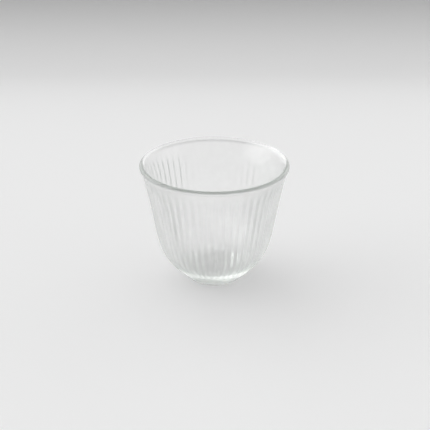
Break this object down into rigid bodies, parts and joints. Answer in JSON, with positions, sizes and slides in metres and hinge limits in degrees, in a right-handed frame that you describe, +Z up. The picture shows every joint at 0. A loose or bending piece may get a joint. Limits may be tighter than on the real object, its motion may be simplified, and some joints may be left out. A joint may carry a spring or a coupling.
{
  "type": "coffee cup",
  "caption": "Handleless clear glass coffee cup with a flared rim, a round bead along the lip, upright ribs round the outside and a thick base on a small round foot.",
  "frame": {"origin": "centre of the foot, on the surface that the cup stands on", "axes": "+Z up along the cup's axis; the cup is round, so X and Y are alike, and a rib crest lies on +X"},
  "size_m": [0.085, 0.085, 0.071],
  "materials": {
    "clear_glass": "polished clear pressed glass with a faint green tint in thick places"
  },
  "bodies": {
    "root": {"glass_cup": "clear_glass"}
  },
  "joints": []
}
